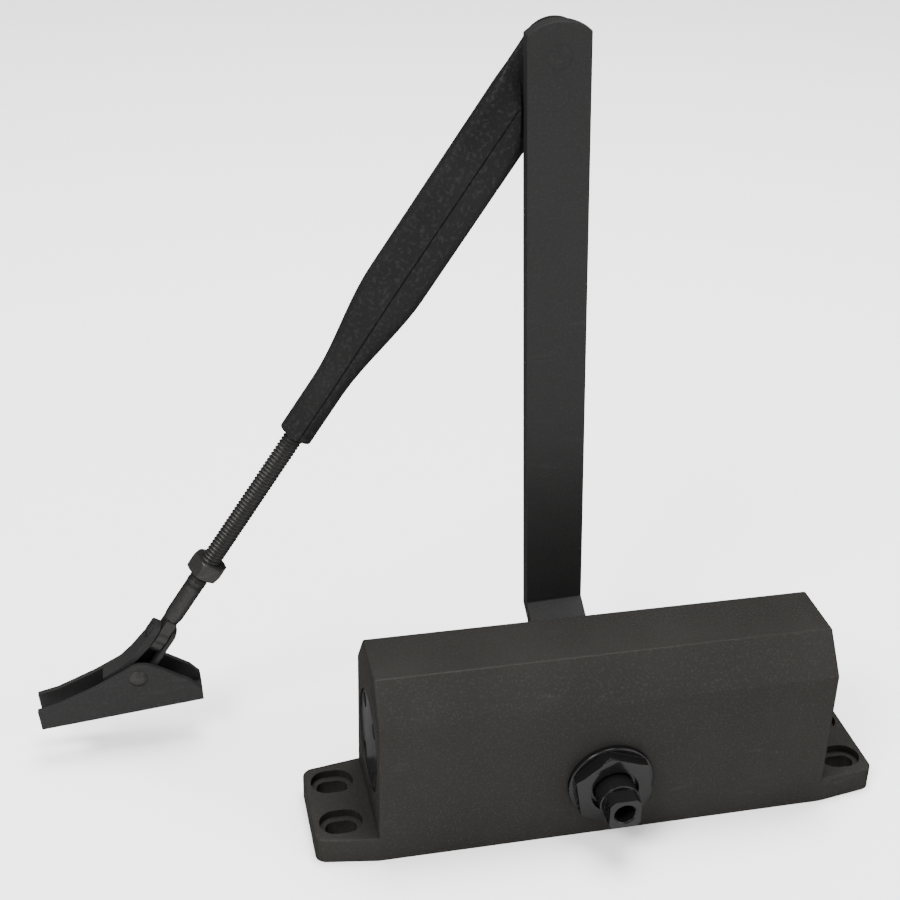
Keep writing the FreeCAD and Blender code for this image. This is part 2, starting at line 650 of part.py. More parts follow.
def make_rod():
    """Threaded rod whose lower shank ends in a flattened eye."""
    thread = Part.makeCylinder(ROD_RADIUS, THREAD_END - ROD_START, Vector(0, SLEEVE_Y, -THREAD_END))
    low = PIN_DISTANCE - 2
    shank = Part.makeCylinder(SHANK_RADIUS, low - THREAD_END, Vector(0, SLEEVE_Y, -low))
    eye = Part.makeCylinder(EYE_RADIUS, 2 * EYE_HALF_THICKNESS,
                            Vector(-EYE_HALF_THICKNESS, SLEEVE_Y, -PIN_DISTANCE), X_AXIS)
    tip = Part.makeCylinder(EYE_TIP_RADIUS, 2 * EYE_HALF_THICKNESS,
                            Vector(-EYE_HALF_THICKNESS, SLEEVE_Y, -PIN_DISTANCE - 3), X_AXIS)
    ends = [e for e in thread.Edges if e.Closed]
    thread = thread.makeChamfer(0.12, ends)
    solid = thread.multiFuse([shank, eye, tip])
    hole = Part.makeCylinder(PIN_RADIUS + 0.05, 12, Vector(-6, SLEEVE_Y, -PIN_DISTANCE), X_AXIS)
    flats = []
    for x0, x1 in ((-9, -EYE_HALF_THICKNESS), (EYE_HALF_THICKNESS, 9)):
        flats.append(block(x0, x1, SLEEVE_Y - 5, SLEEVE_Y + 5, -PIN_DISTANCE - 5, -PIN_DISTANCE + 5))
    return in_forearm(solid.cut([hole] + flats).removeSplitter())


def make_lock_nut():
    """Hexagon nut on the rod, two flats facing the viewer's side."""
    corner = NUT_HEX / math.sqrt(3)
    ring = []
    for i in range(6):
        a = math.radians(30 + 60 * i)
        ring.append(Vector(corner * math.sin(a), SLEEVE_Y + corner * math.cos(a), -NUT_START - NUT_THICKNESS))
    nut = prism(ring, Vector(0, 0, NUT_THICKNESS))
    crowns = []
    for z0, facing in ((-NUT_START - NUT_THICKNESS - 0.35, 1), (-NUT_START + 0.35, -1)):
        crowns.append(Part.makeCone(NUT_HEX / 2 - 0.35, NUT_HEX / 2 + 20 - 0.35, 20 * 0.7,
                                    Vector(0, SLEEVE_Y, z0), Vector(0, 0, facing)))
    for crown in crowns:
        nut = nut.common(crown)
    hole = Part.makeCylinder(ROD_RADIUS + 0.05, 20, Vector(0, SLEEVE_Y, -NUT_START - 12))
    return in_forearm(nut.cut(hole))


# ---- Yoke and foot bracket ----

def make_yoke():
    """Folded link: a swept web and a narrow leg hold the pin, two cheeks hold the foot rivet."""
    near = SLEEVE_Y - YOKE_HALF_WIDTH
    far = SLEEVE_Y + YOKE_HALF_WIDTH
    web_outer = -YOKE_GAP - YOKE_SHEET
    leg_outer = YOKE_GAP + LEG_SHEET
    pivot = FOOT_PIVOT_DISTANCE
    leg_low = pivot + 1.0
    low = pivot + 4.4
    web = [(-YOKE_GAP, -YOKE_TOP), (web_outer, -YOKE_TOP), (web_outer, -pivot + 13.0), (-5.4, -pivot + 5.5)]
    web += [(-6.9, -pivot - 0.5), (-9.7, -pivot - 5.9), (-8.1, -pivot - 7.2), (-4.9, -pivot - 1.5)]
    web += [(-3.3, -pivot + 4.6), (-YOKE_GAP, -pivot + 11.0)]
    leg = [(YOKE_GAP, -YOKE_TOP), (leg_outer, -YOKE_TOP), (leg_outer, -leg_low), (YOKE_GAP, -leg_low)]
    pieces = [flat_plate(leg, near, far)]
    for y0, top, left in ((near, pivot - 3.5, -4.6), (far - CHEEK_SHEET, pivot - 9.0, -3.6)):
        cheek = [(left, -top), (leg_outer, -top), (leg_outer, -leg_low), (2.0, -low), (-7.0, -low)]
        pieces.append(flat_plate(cheek, y0, y0 + CHEEK_SHEET))
    solid = flat_plate(web, near, far).multiFuse(pieces)
    round_top = Part.makeCylinder(YOKE_HALF_WIDTH + 0.7, 24, Vector(-12, SLEEVE_Y, -PIN_DISTANCE), X_AXIS)
    keep = block(-12, 12, near - 1, far + 1, -low - 5, -PIN_DISTANCE)
    solid = solid.common(round_top.fuse(keep))
    pin_hole = Part.makeCylinder(PIN_RADIUS + 0.02, 24, Vector(-12, SLEEVE_Y, -PIN_DISTANCE), X_AXIS)
    rivet_hole = along_y(FOOT_RIVET_RADIUS + 0.06, near - 1, far + 1, 0, -pivot)
    return in_forearm(solid.cut([pin_hole, rivet_hole]).removeSplitter())


def make_yoke_pin():
    """Cross pin with a head at each end."""
    left = -YOKE_GAP - YOKE_SHEET
    right = YOKE_GAP + LEG_SHEET
    shank = Part.makeCylinder(PIN_RADIUS, right - left, Vector(left, SLEEVE_Y, -PIN_DISTANCE), X_AXIS)
    heads = []
    for side, place in ((-1, left), (1, right)):
        start = Vector(place, SLEEVE_Y, -PIN_DISTANCE)
        heads.append(Part.makeCone(2.6, 1.9, 1.1, start, Vector(side, 0, 0)))
    return in_forearm(shank.multiFuse(heads).removeSplitter())


def foot_wall_outline():
    """Cheek of the bracket: low at both ends, with its crest near the pivot."""
    base = -FOOT_PIVOT_HEIGHT
    outline = [(FOOT_LEFT, base), (FOOT_LEFT, base + 8.0), (-27.0, base + 8.9)]
    outline += [(-14.2, base + 12.9), (-3.5, base + 17.3)]
    crest = [(-1.6, 18.3), (0.8, 18.8), (3.4, 18.3), (7.0, 16.2), (12.0, 12.3), (16.8, 8.4)]
    outline += [(x, base + h) for x, h in crest]
    outline += [(FOOT_RIGHT, base + 4.6), (FOOT_RIGHT, base)]
    return outline


def make_foot_bracket():
    """U-shaped bracket: two cheeks on a narrow base with a screw hole and an open screw slot."""
    near = SLEEVE_Y - FOOT_HALF_WIDTH
    far = SLEEVE_Y + FOOT_HALF_WIDTH
    base = -FOOT_PIVOT_HEIGHT
    outline = foot_wall_outline()
    floor = block(FOOT_LEFT, FOOT_RIGHT, near, far, base, base + FOOT_SHEET)
    walls = [flat_plate(outline, near, near + FOOT_SHEET), flat_plate(outline, far - FOOT_SHEET, far)]
    solid = floor.multiFuse(walls).removeSplitter()
    lower = [e for e in solid.Edges if e.BoundBox.XLength > 50 and e.BoundBox.ZMax < base + 0.1]
    lower = [e for e in lower if e.BoundBox.YLength < 0.1]
    solid = solid.makeFillet(1.2, lower)
    slot = block(FOOT_LEFT - 1, FOOT_SLOT_END, SLEEVE_Y - 2.5, SLEEVE_Y + 2.5, base - 1, base + 4)
    slot_end = Part.makeCylinder(2.5, 5, Vector(FOOT_SLOT_END, SLEEVE_Y, base - 1))
    hole = Part.makeCylinder(FOOT_HOLE_RADIUS, 5, Vector(FOOT_HOLE_X, SLEEVE_Y, base - 1))
    pivot = along_y(FOOT_RIVET_RADIUS + 0.02, near - 1, far + 1, 0, 0)
    return in_foot(solid.cut([slot, slot_end, hole, pivot]))


def make_foot_rivet():
    """Rivet through both cheeks, on which the yoke turns."""
    near = SLEEVE_Y - FOOT_HALF_WIDTH
    far = SLEEVE_Y + FOOT_HALF_WIDTH
    shank = along_y(FOOT_RIVET_RADIUS, near, far, 0, 0)
    heads = [dome(3.1, 1.2, near, 0, 0, -1), dome(3.1, 1.2, far, 0, 0, 1)]
    return in_foot(shank.multiFuse(heads).removeSplitter())


def main():
    os.makedirs("parts", exist_ok=True)
    save("housing", make_housing())
    for side, place in ((-1, "left"), (1, "right")):
        save(place + "_end_plug", make_plug(side))
        save(place + "_plug_ring", make_plug_ring(side))
    for side, place in ((-1, "front"), (1, "rear")):
        save(place + "_gland_nut", make_gland(side))
        save(place + "_bearing", make_bearing(side))
        save(place + "_shaft_seal", make_shaft_seal(side))
    for sign, place in ((1, "upper"), (-1, "lower")):
        save(place + "_speed_screw", make_valve(sign))
        save(place + "_speed_ring", make_valve_ring(sign))
    save("outer_spring", make_spring(12.1, 3.4, 4.5))
    save("inner_spring", make_spring(7.9, 2.2, 7.0))
    save("rack_piston", make_piston())
    save("piston_seal", make_piston_seal())
    save("check_valve_cage", make_check_valve())
    save("check_valve_ball", make_check_ball())
    save("pinion_shaft", make_pinion())
    save("main_arm", make_main_arm())
    save("arm_washer", make_arm_washer())
    save("arm_screw", make_arm_screw())
    save("elbow_rivet", make_elbow_rivet())
    save("elbow_washer", make_elbow_washer())
    save("forearm_sleeve", make_forearm())
    save("threaded_rod", make_rod())
    save("lock_nut", make_lock_nut())
    save("yoke", make_yoke())
    save("yoke_pin", make_yoke_pin())
    save("foot_bracket", make_foot_bracket())
    save("foot_rivet", make_foot_rivet())


main()
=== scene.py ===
import json
import math

import bmesh
import bpy
import numpy as np
from bpy.props import FloatProperty, FloatVectorProperty, IntProperty, PointerProperty
from mathutils import Matrix, Vector


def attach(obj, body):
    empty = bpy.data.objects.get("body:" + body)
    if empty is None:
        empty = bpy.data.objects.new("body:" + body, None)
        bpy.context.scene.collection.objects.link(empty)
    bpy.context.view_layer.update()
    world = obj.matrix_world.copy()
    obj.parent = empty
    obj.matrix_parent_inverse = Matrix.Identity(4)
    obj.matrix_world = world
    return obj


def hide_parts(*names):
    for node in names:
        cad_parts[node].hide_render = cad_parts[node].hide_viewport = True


bl_info = {
    "name": "Door Closer",
    "version": (1, 0, 0),
    "blender": (4, 5, 0),
    "location": "View3D > Sidebar > Closer",
    "description": "Finishes a surface-mounted door closer with its standard arm",
    "category": "Add Mesh",
}

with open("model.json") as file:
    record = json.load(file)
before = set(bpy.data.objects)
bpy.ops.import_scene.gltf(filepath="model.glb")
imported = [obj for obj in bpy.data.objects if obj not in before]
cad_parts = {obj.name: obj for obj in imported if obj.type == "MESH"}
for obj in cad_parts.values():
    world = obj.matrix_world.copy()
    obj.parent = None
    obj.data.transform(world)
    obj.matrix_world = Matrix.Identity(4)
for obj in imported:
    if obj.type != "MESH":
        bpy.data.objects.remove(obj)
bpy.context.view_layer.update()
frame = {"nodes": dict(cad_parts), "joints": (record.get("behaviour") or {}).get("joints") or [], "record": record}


# ---- Places read from the frame ----

def joint(name):
    """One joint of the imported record."""
    return next(j for j in frame["joints"] if j["name"] == name)


ELBOW = np.array(joint("elbow")["pos_m"])
LINK_PIN = np.array(joint("yoke_tilt")["pos_m"])
FOOT_PIVOT = np.array(joint("foot_turn")["pos_m"])
PIN_DISTANCE = float(np.linalg.norm(LINK_PIN - ELBOW))
ROD_DIRECTION = np.array(joint("rod_extend")["axis"])
ACROSS = np.array([-ROD_DIRECTION[2], 0.0, ROD_DIRECTION[0]])
BACK = np.array([0.0, 1.0, 0.0])


# Node, body, centre, axis, ends along the axis, shank radius, and each head's radius and height in metres
RIVETS = (
    ("elbow_rivet", "pinion", ELBOW, BACK, (-0.0076, 0.0016), 0.0030, ((0.0037, 0.0009), (0.0060, 0.0020))),
    ("foot_rivet", "foot", FOOT_PIVOT, BACK, (-0.0056, 0.0056), 0.0020, ((0.0031, 0.0012), (0.0031, 0.0012))),
    ("yoke_pin", "link", LINK_PIN, ACROSS, (-0.0044, 0.0036), 0.0016, ((0.0026, 0.0011), (0.0026, 0.0011))),
)


# CAD parts whose edges are rounded, with the body that each rides on
ROUNDED_PARTS = (
    ("main_arm", "pinion"), ("foot_bracket", "foot"), ("yoke", "link"), ("pinion_shaft", "pinion"),
    ("arm_screw", "pinion"), ("lock_nut", "nut"), ("front_gland_nut", "closer_body"),
    ("rear_gland_nut", "closer_body"), ("housing", "closer_body"))

# Edges sharper than the first angle are rounded, and faces within the second are joined into one
SHARP_ANGLE = math.radians(34)
FLAT_ANGLE = math.radians(1.0)

# Points nearer than this are one point, on a surface made here and on a copy of a CAD part, in metres
SURFACE_MERGE = 1e-6
CAD_MERGE = 2e-6


# ---- Settings ----

class CloserSizes(bpy.types.PropertyGroup):
    """Sizes of the finer surfaces, in metres."""

    thread_pitch: FloatProperty(
        name="Thread pitch", description="Distance between turns of the rod's thread",
        default=0.00125, min=0.0005, unit="LENGTH")
    thread_depth: FloatProperty(
        name="Thread depth", description="Height of the thread's ridge over its root",
        default=0.00055, min=0.0001, unit="LENGTH")
    thread_start: FloatProperty(
        name="Thread start", description="Distance from the elbow to the rod's hidden end",
        default=0.0991, min=0.05, unit="LENGTH")
    thread_end: FloatProperty(
        name="Thread end", description="Distance from the elbow to the thread's last turn",
        default=0.2020, min=0.1, unit="LENGTH")
    rod_radius: FloatProperty(
        name="Rod radius", description="Radius over the thread's crests",
        default=0.00316, min=0.001, unit="LENGTH")
    crest_share: FloatProperty(
        name="Crest share", description="Share of a half turn that stays flat at the crest and at the root",
        default=0.12, min=0.0, max=0.4, subtype="FACTOR")
    shank_radius: FloatProperty(
        name="Shank radius", description="Radius of the plain shank below the thread",
        default=0.00304, min=0.001, unit="LENGTH")
    shank_gap: FloatProperty(
        name="Shank gap", description="Distance from the shank's closed end to the pin",
        default=0.0040, min=0.001, unit="LENGTH")
    shank_close: FloatProperty(
        name="Shank close", description="Length over which the shank closes to a point",
        default=0.0055, min=0.001, unit="LENGTH")
    eye_radius: FloatProperty(
        name="Eye radius", description="Radius of the rod's eye round its pin",
        default=0.0036, min=0.001, unit="LENGTH")
    eye_tip: FloatProperty(
        name="Eye tip", description="Reach of the eye's rounded tip past its pin",
        default=0.0060, min=0.001, unit="LENGTH")
    tongue_half: FloatProperty(
        name="Tongue half width", description="Half the width of the eye's tongue",
        default=0.0030, min=0.001, unit="LENGTH")
    tongue_length: FloatProperty(
        name="Tongue length", description="Length of the eye's tongue, from the pin up into the shank",
        default=0.0068, min=0.001, unit="LENGTH")
    eye_half: FloatProperty(
        name="Eye half thickness", description="Half the thickness of the rod's eye",
        default=0.00189, min=0.0005, unit="LENGTH")
    pin_hole: FloatProperty(
        name="Pin hole", description="Radius of the hole for the pin",
        default=0.00166, min=0.0005, unit="LENGTH")
    edge_round: FloatProperty(
        name="Edge round", description="Radius of the worn edges of cast, pressed and machined parts",
        default=0.00030, min=0.00005, unit="LENGTH")
    pin_edge_round: FloatProperty(
        name="Pin edge round", description="Radius of the edges of the rivets and the pin",
        default=0.00012, min=0.00002, unit="LENGTH")
    thread_steps: IntProperty(
        name="Thread steps", description="Faces round one turn of the thread", default=40, min=12)
    eye_steps: IntProperty(
        name="Eye steps", description="Faces round the outline of the rod's eye", default=96, min=24)
    pin_steps: IntProperty(
        name="Pin steps", description="Faces round a rivet or the pin", default=48, min=12)


class CloserColours(bpy.types.PropertyGroup):
    """Colours of the closer's finishes and of the floor."""

    body: FloatVectorProperty(
        name="Body", description="Bronze paint of the cast body",
        default=(0.0148, 0.0143, 0.0133), size=3, subtype="COLOR")
    body_light: FloatVectorProperty(
        name="Body light", description="Lighter specks and clouds in the body's paint",
        default=(0.0290, 0.0274, 0.0256), size=3, subtype="COLOR")
    arm: FloatVectorProperty(
        name="Arm", description="Near-black paint of the arms, and the clouds on black steel",
        default=(0.0150, 0.0149, 0.0148), size=3, subtype="COLOR")
    arm_light: FloatVectorProperty(
        name="Arm light", description="Lighter specks and clouds in the arms' paint",
        default=(0.0235, 0.0232, 0.0230), size=3, subtype="COLOR")
    gloss: FloatVectorProperty(
        name="Gloss", description="Black steel, as on the pinion, gland nuts and end plugs",
        default=(0.0200, 0.0200, 0.0200), size=3, subtype="COLOR")
    # Sleeve colour: the arm paint made darker, as painted shade over the forearm sleeve
    sleeve: FloatVectorProperty(
        name="Sleeve", description="Rougher paint of the forearm sleeve",
        default=(0.0080, 0.0079, 0.0079), size=3, subtype="COLOR")
    rod: FloatVectorProperty(
        name="Rod", description="Dark steel of the rod, its nut and the foot's rivet",
        default=(0.0180, 0.0177, 0.0172), size=3, subtype="COLOR")
    rod_light: FloatVectorProperty(
        name="Rod light", description="Lighter clouds on the rod's steel",
        default=(0.0360, 0.0352, 0.0345), size=3, subtype="COLOR")
    steel: FloatVectorProperty(
        name="Steel", description="Bare steel under worn paint",
        default=(0.16, 0.157, 0.153), size=3, subtype="COLOR")
    inner: FloatVectorProperty(
        name="Inner steel", description="Bright steel of the inner parts, elbow washer and small screws",
        default=(0.45, 0.45, 0.46), size=3, subtype="COLOR")
    inner_light: FloatVectorProperty(
        name="Inner steel light", description="Lighter clouds on the bright steel",
        default=(0.56, 0.56, 0.57), size=3, subtype="COLOR")
    rubber: FloatVectorProperty(
        name="Rubber", description="Black rubber of the rings and seals",
        default=(0.02, 0.02, 0.02), size=3, subtype="COLOR")
    rubber_light: FloatVectorProperty(
        name="Rubber light", description="Lighter bloom on the rubber",
        default=(0.035, 0.035, 0.035), size=3, subtype="COLOR")
    floor: FloatVectorProperty(
        name="Floor", description="Pale floor of the stage",
        default=(0.96, 0.96, 0.96), size=3, subtype="COLOR")


# ---- Shader node groups ----

def new_group(name, inputs, outputs):
    """Empty shader node group with float inputs and the named outputs."""
    group = bpy.data.node_groups.new(name, "ShaderNodeTree")
    for label, value in inputs.items():
        socket = group.interface.new_socket(label, in_out="INPUT", socket_type="NodeSocketFloat")
        socket.default_value = value
    for label in outputs:
        group.interface.new_socket(label, in_out="OUTPUT", socket_type="NodeSocketFloat")
    return group, group.nodes.new("NodeGroupInput"), group.nodes.new("NodeGroupOutput")


def noise(group, vector, *, detail, scale):
    """Noise texture on a vector socket; its scale is a number or a socket."""
    node = group.nodes.new("ShaderNodeTexNoise")
    node.inputs["Detail"].default_value = detail
    group.links.new(vector, node.inputs["Vector"])
    if hasattr(scale, "default_value"):
        group.links.new(scale, node.inputs["Scale"])
    else:
        node.inputs["Scale"].default_value = scale
    return node.outputs["Fac"]


def stretched(group, source, *, low, high):
    """A value as 0 at low and 1 at high, held between them."""
    node = group.nodes.new("ShaderNodeMapRange")
    node.inputs["From Min"].default_value = low
    node.inputs["From Max"].default_value = high
    group.links.new(source, node.inputs["Value"])
    return node.outputs["Result"]


def product(group, first, second):
    """Product of two value sockets."""
    node = group.nodes.new("ShaderNodeMath")
    node.operation = "MULTIPLY"
    group.links.new(first, node.inputs[0])
    group.links.new(second, node.inputs[1])
    return node.outputs[0]


def grain_group():
    """Sprayed texture: fine cells over a softer swell, with masks of lighter specks and soft clouds."""
    group, given, out = new_group(
        "paint_grain", {"Fine": 900.0, "Swell": 120.0, "Fine Share": 0.5}, ("Height", "Specks", "Cloud"))
    place = group.nodes.new("ShaderNodeTexCoord").outputs["Object"]
    fine = noise(group, place, detail=3.0, scale=given.outputs["Fine"])
    swell = noise(group, place, detail=2.0, scale=given.outputs["Swell"])
    cloud = noise(group, place, detail=4.0, scale=28.0)
    mix = group.nodes.new("ShaderNodeMix")
    group.links.new(given.outputs["Fine Share"], mix.inputs["Factor"])
    group.links.new(swell, mix.inputs["A"])
    group.links.new(fine, mix.inputs["B"])
    group.links.new(mix.outputs["Result"], out.inputs["Height"])
    specks = stretched(group, fine, low=0.52, high=0.68)
    clouds = stretched(group, cloud, low=0.35, high=0.70)
    group.links.new(specks, out.inputs["Specks"])
    group.links.new(clouds, out.inputs["Cloud"])
    return group


def scuff_group():
    """Sparse rub marks: thin slanting streaks, kept only inside a few patches."""
    group, given, out = new_group("scuffs", {"Scale": 60.0, "Amount": 0.5}, ("Mask",))
    place = group.nodes.new("ShaderNodeTexCoord").outputs["Object"]
    slant = group.nodes.new("ShaderNodeMapping")
    slant.inputs["Rotation"].default_value = (0.3, 0.55, 0.2)
    slant.inputs["Scale"].default_value = (1.0, 1.0, 7.0)
    group.links.new(place, slant.inputs["Vector"])
    streaks = noise(group, slant.outputs["Vector"], detail=6.0, scale=given.outputs["Scale"])
    patches = noise(group, place, detail=2.0, scale=34.0)
    thin = stretched(group, streaks, low=0.60, high=0.74)
    within = stretched(group, patches, low=0.48, high=0.66)
    marks = product(group, thin, within)
    group.links.new(product(group, marks, given.outputs["Amount"]), out.inputs["Mask"])
    return group


# ---- Materials ----

def group_node(material, name, **values):
    """Places a shared group in a material with its own values."""
    node = material.node_tree.nodes.new("ShaderNodeGroup")
    makers = {"paint_grain": grain_group, "scuffs": scuff_group}
    node.node_tree = bpy.data.node_groups.get(name) or makers[name]()
    for label, value in values.items():
        node.inputs[label.replace("_", " ")].default_value = value
    return node


def mix_colour(material, factor, first, second):
    """Colour between two, by a factor socket; each may be a colour or a socket."""
    node = material.node_tree.nodes.new("ShaderNodeMix")
    node.data_type = "RGBA"
    links = material.node_tree.links
    links.new(factor, node.inputs["Factor"])
    for socket, value in ((node.inputs[6], first), (node.inputs[7], second)):
        if hasattr(value, "default_value"):
            links.new(value, socket)
        else:
            socket.default_value = (*value, 1.0)
    return node.outputs[2]


def ranged(material, source, low, high):
    """Value between low and high as the source goes from 0 to 1."""
    node = material.node_tree.nodes.new("ShaderNodeMapRange")
    node.inputs["To Min"].default_value = low
    node.inputs["To Max"].default_value = high
    material.node_tree.links.new(source, node.inputs["Value"])
    return node.outputs["Result"]


def bumped(material, height, distance):
    """Bump of a height socket, on the material's shader."""
    node = material.node_tree.nodes.new("ShaderNodeBump")
    node.inputs["Strength"].default_value = 1.0
    node.inputs["Distance"].default_value = distance
    material.node_tree.links.new(height, node.inputs["Height"])
    shader = material.node_tree.nodes["Principled BSDF"]
    material.node_tree.links.new(node.outputs["Normal"], shader.inputs["Normal"])


def painted(name, base, light, *, fine, swell, depth, rough, scuff, metallic=0.3, edge=0.10):
    """Finish with specks, soft clouds and a few rub marks down to the steel.

    It is metallic by a share and matt for the rest. fine and swell are the grain's scales, depth its
    height in metres, rough the roughness from clear to clouded, and edge the tint at glancing angles.
    """
    material = bpy.data.materials.new("finish_" + name)
    material.use_nodes = True
    links = material.node_tree.links
    shader = material.node_tree.nodes["Principled BSDF"]
    steel = tuple(bpy.context.scene.closer_colours.steel)
    grain = group_node(material, "paint_grain", Fine=fine, Swell=swell, Fine_Share=0.55)
    marks = group_node(material, "scuffs", Scale=70.0, Amount=scuff)
    clouding = ranged(material, grain.outputs["Cloud"], 0.10, 0.30)
    clouded = mix_colour(material, clouding, tuple(base), tuple(light))
    speckling = ranged(material, grain.outputs["Specks"], 0.0, 0.5)
    specked = mix_colour(material, speckling, clouded, tuple(light))
    worn = mix_colour(material, marks.outputs["Mask"], specked, steel)
    links.new(worn, shader.inputs["Base Color"])
    links.new(ranged(material, grain.outputs["Cloud"], *rough), shader.inputs["Roughness"])
    shader.inputs["Metallic"].default_value = metallic
    shader.inputs["Specular IOR Level"].default_value = 0.0
    shader.inputs["Specular Tint"].default_value = (edge, edge, edge, 1.0)
    bumped(material, grain.outputs["Height"], depth)
    return material


def body_paint(colours):
    """Fine-grained bronze paint of the cast body."""
    return painted("body_paint", colours.body, colours.body_light, fine=1500.0, swell=420.0,
                   depth=0.00005, rough=(0.40, 0.55), scuff=0.03)


def arm_paint(colours):
    """Smooth near-black paint of the main arm, elbow rivet, yoke and foot bracket."""
    return painted("arm_paint", colours.arm, colours.arm_light, fine=1300.0, swell=240.0,
                   depth=0.00003, rough=(0.36, 0.50), scuff=0.03)


def shaded_sleeve_paint(colours):
    """Rougher paint of the forearm sleeve, made darker than the arm paint as painted shade over the sleeve."""
    return painted("shaded_sleeve_paint", colours.sleeve, colours.arm_light, fine=900.0, swell=330.0,
                   depth=0.00018, rough=(0.32, 0.48), scuff=0.0)


def black_steel(colours):
    """Blackened steel of the end plugs, arm washer, arm screw and cross pin."""
    return painted("black_steel", colours.gloss, colours.arm, fine=1100.0, swell=160.0,
                   depth=0.000006, rough=(0.26, 0.38), scuff=0.02, metallic=0.6)


def gloss_steel(colours):
    """Glossier black steel of the pinion and the gland nuts."""
    return painted("gloss_steel", colours.gloss, colours.arm, fine=1100.0, swell=160.0,
                   depth=0.000006, rough=(0.14, 0.24), scuff=0.02, metallic=0.75, edge=0.4)


def rod_steel(colours):
    """Dark steel of the threaded rod, its nut and the foot's rivet."""
    return painted("rod_steel", colours.rod, colours.rod_light, fine=1600.0, swell=260.0,
                   depth=0.00001, rough=(0.30, 0.45), scuff=0.08, metallic=0.6)


def inner_steel(colours):
    """Bright steel of the bushes, springs, piston, check valve, elbow washer and regulating screws."""
    return painted("inner_steel", colours.inner, colours.inner_light, fine=1600.0, swell=260.0,
                   depth=0.00001, rough=(0.22, 0.36), scuff=0.2, metallic=1.0, edge=1.0)


def ring_rubber(colours):
    """Matt black rubber of the rings and seals."""
    return painted("ring_rubber", colours.rubber, colours.rubber_light, fine=1800.0, swell=300.0,
                   depth=0.00002, rough=(0.55, 0.7), scuff=0.0, metallic=0.0)


FINISHES = {make.__name__: make for make in (
    body_paint, arm_paint, shaded_sleeve_paint, black_steel, gloss_steel, rod_steel, inner_steel, ring_rubber)}
# The forearm sleeve takes a darker copy of the arm paint, as painted shade
SPECIAL_FINISHES = {"forearm_sleeve": "shaded_sleeve_paint", "pinion_shaft": "gloss_steel",
                    "front_gland_nut": "gloss_steel", "rear_gland_nut": "gloss_steel"}


def finish_named(name):
    """A finish by its name, made the first time that it is asked for."""
    made = bpy.data.materials.get("finish_" + name)
    return made or FINISHES[name](bpy.context.scene.closer_colours)


def slot_of(node):
    """The record's material slot of a CAD node."""
    return next(s["material_slot"] for s in frame["record"]["subparts"] if s["node"] == node)


def finish_of(node):
    """The finish of a CAD node: its own where it has one, else its slot's."""
    return finish_named(SPECIAL_FINISHES.get(node, slot_of(node)))


def dress(obj, material):
    """Gives an object that one material."""
    obj.data.materials.clear()
    obj.data.materials.append(material)


# ---- Mesh helpers ----

def grid_mesh(name, points, close_u=False, close_v=False):
    """Mesh of a grid of points, shape (rows, columns, 3), joined round in v or u where asked."""
    rows, columns = points.shape[:2]
    index = np.arange(rows * columns).reshape(rows, columns)
    if close_u:
        index = np.vstack([index, index[:1]])
    if close_v:
        index = np.hstack([index, index[:, :1]])
    quads = np.stack([index[:-1, :-1], index[:-1, 1:], index[1:, 1:], index[1:, :-1]], axis=-1).reshape(-1, 4)
    mesh = bpy.data.meshes.new(name)
    mesh.from_pydata(points.reshape(-1, 3).tolist(), [], quads.tolist())
    return mesh


def tidy_faces(mesh):
    """Merges doubles, turns every face outwards and smooths the shading."""
    work = bmesh.new()
    work.from_mesh(mesh)
    bmesh.ops.remove_doubles(work, verts=work.verts, dist=SURFACE_MERGE)
    bmesh.ops.recalc_face_normals(work, faces=work.faces)
    for face in work.faces:
        face.smooth = True
    work.to_mesh(mesh)
    work.free()


def add_piece(name, mesh, body, material):
    """Links a mesh as a piece that rides on a body and takes a slot's finish."""
    obj = bpy.data.objects.new(name, mesh)
    bpy.context.scene.collection.objects.link(obj)
    dress(obj, material)
    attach(obj, body)
    return obj


def round_by(piece, width):
    """Rounds a piece's sharp edges with a Bevel."""
    bevel = piece.modifiers.new("edges", "BEVEL")
    bevel.width = width
    bevel.segments = 2
    bevel.limit_method = "ANGLE"
    bevel.angle_limit = SHARP_ANGLE
    bevel.harden_normals = True


def softened_copy(node, body, width):
    """Copy of a CAD part with its sharp edges rounded by a Bevel, standing for the part."""
    mesh = frame["nodes"][node].data.copy()
    mesh.name = node + "_finished"
    work = bmesh.new()
    work.from_mesh(mesh)
    bmesh.ops.remove_doubles(work, verts=work.verts, dist=CAD_MERGE)
    bmesh.ops.dissolve_limit(work, angle_limit=FLAT_ANGLE, verts=work.verts, edges=work.edges)
    for face in work.faces:
        face.smooth = True
    work.to_mesh(mesh)
    work.free()
    if "custom_normal" in mesh.attributes:
        mesh.attributes.remove(mesh.attributes["custom_normal"])
    piece = add_piece(mesh.name, mesh, body, finish_of(node))
    round_by(piece, width)
    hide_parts(node)


# ---- Threaded rod ----

def on_rod(distance, across, back):
    """Points at distances down the rod from the elbow, set off across it and along Y."""
    return (ELBOW + distance[..., None] * ROD_DIRECTION + across[..., None] * ACROSS
            + back[..., None] * BACK)


